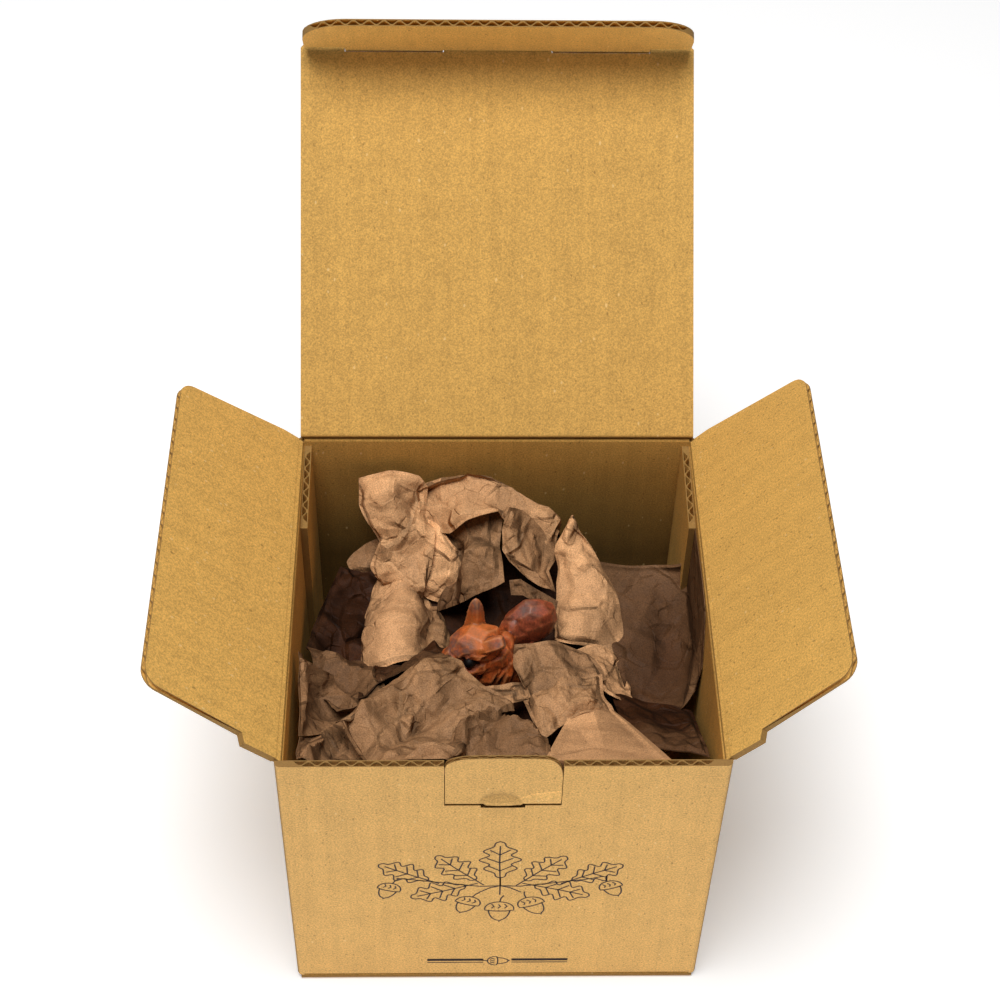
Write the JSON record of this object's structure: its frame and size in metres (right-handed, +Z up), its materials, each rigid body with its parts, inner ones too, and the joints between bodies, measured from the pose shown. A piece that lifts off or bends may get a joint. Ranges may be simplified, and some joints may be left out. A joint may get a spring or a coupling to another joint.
{
  "type": "gift carton with a lidded round box in wrapping paper",
  "caption": "Open corrugated gift carton with tuck lid, dust flaps and lock tab, packed with crumpled paper round a round box whose lid has a carved squirrel as its knob.",
  "frame": {"origin": "centre of the carton's underside", "axes": "+X to the right seen from the front with the lock tab, +Y to the back wall that the lid hangs on, +Z up"},
  "size_m": [0.2601, 0.2958, 0.3023],
  "materials": {
    "board": "brown kraft liner with fine fibre flecks, matt",
    "wrapping": "crumpled brown kraft paper, matt with a faint sheen on its ribs",
    "wadding": "loosely wadded brown kraft paper",
    "painted_tin": "plain satin paint on thin sheet",
    "steel": "zinc plated",
    "stained_wood": "knife-carved softwood, stained orange brown and waxed",
    "bead": "glossy black"
  },
  "bodies": {
    "carton": {"front_panel": "board", "back_panel": "board", "left_side_panel": "board", "right_side_panel": "board", "left_glue_flap": "board", "right_glue_flap": "board", "bottom_panel": "board", "bottom_tuck_flap": "board", "bottom_left_dust_flap": "board", "bottom_right_dust_flap": "board", "paper_pad": "wadding"},
    "lid": {"lid_panel": "board"},
    "tuck": {"tuck_flap": "board"},
    "dust_left": {"left_dust_flap": "board"},
    "dust_right": {"right_dust_flap": "board"},
    "tab": {"lock_tab": "board"},
    "round_box": {"box_wall": "painted_tin", "box_base": "painted_tin"},
    "box_cover": {"box_lid": "painted_tin", "knob_screw": "steel", "knob_washer": "steel", "squirrel": "stained_wood", "left_eye": "bead", "right_eye": "bead"},
    "wrapping": {"paper_back_left": "wrapping", "paper_back_fold": "wrapping", "paper_hood": "wrapping", "paper_hood_inner": "wrapping", "paper_hood_tongue": "wrapping", "paper_right_fold": "wrapping", "paper_right_sheet": "wrapping", "paper_right_corner": "wrapping", "paper_right_low": "wrapping", "paper_front_right": "wrapping", "paper_front_fold": "wrapping", "paper_front_strip": "wrapping", "paper_front_left": "wrapping", "paper_under_chest": "wrapping", "paper_left_wall": "wrapping", "paper_left_back": "wrapping", "paper_left_fold": "wrapping", "paper_left_strip": "wrapping", "paper_left_band": "wrapping", "paper_by_squirrel": "wrapping", "paper_bed": "wrapping"}
  },
  "joints": [
    {"name": "lid_fold", "type": "hinge", "parent": "carton", "child": "lid", "pos_m": [0, 0.0845, 0.1625], "axis": [-1, 0, 0], "range_deg": [-137.5, 62.5]},
    {"name": "tuck_fold", "type": "hinge", "parent": "lid", "child": "tuck", "pos_m": [0, 0.20667, 0.27445], "axis": [-1, 0, 0], "range_deg": [-13.75, 6.25]},
    {"name": "left_dust_fold", "type": "hinge", "parent": "carton", "child": "dust_left", "pos_m": [-0.0845, 0, 0.1592], "axis": [0, -1, 0], "range_deg": [-138, 66]},
    {"name": "right_dust_fold", "type": "hinge", "parent": "carton", "child": "dust_right", "pos_m": [0.0845, 0, 0.1592], "axis": [0, 1, 0], "range_deg": [-132, 72]},
    {"name": "tab_fold", "type": "hinge", "parent": "carton", "child": "tab", "pos_m": [0, -0.0845, 0.1363], "axis": [1, 0, 0], "range_deg": [0, 95]},
    {"name": "round_box_lift", "type": "slide", "parent": "carton", "child": "round_box", "axis": [0, 0, 1], "range_m": [0, 0.14]},
    {"name": "box_cover_lift", "type": "slide", "parent": "round_box", "child": "box_cover", "axis": [0, 0, 1], "range_m": [0, 0.04]},
    {"name": "wrapping_lift", "type": "slide", "parent": "box_cover", "child": "wrapping", "axis": [0, 0, 1], "range_m": [0, 0.06]}
  ],
  "couplings": [
    {"joint": "tuck_fold", "follows": "lid_fold", "ratio": 0.1}
  ]
}
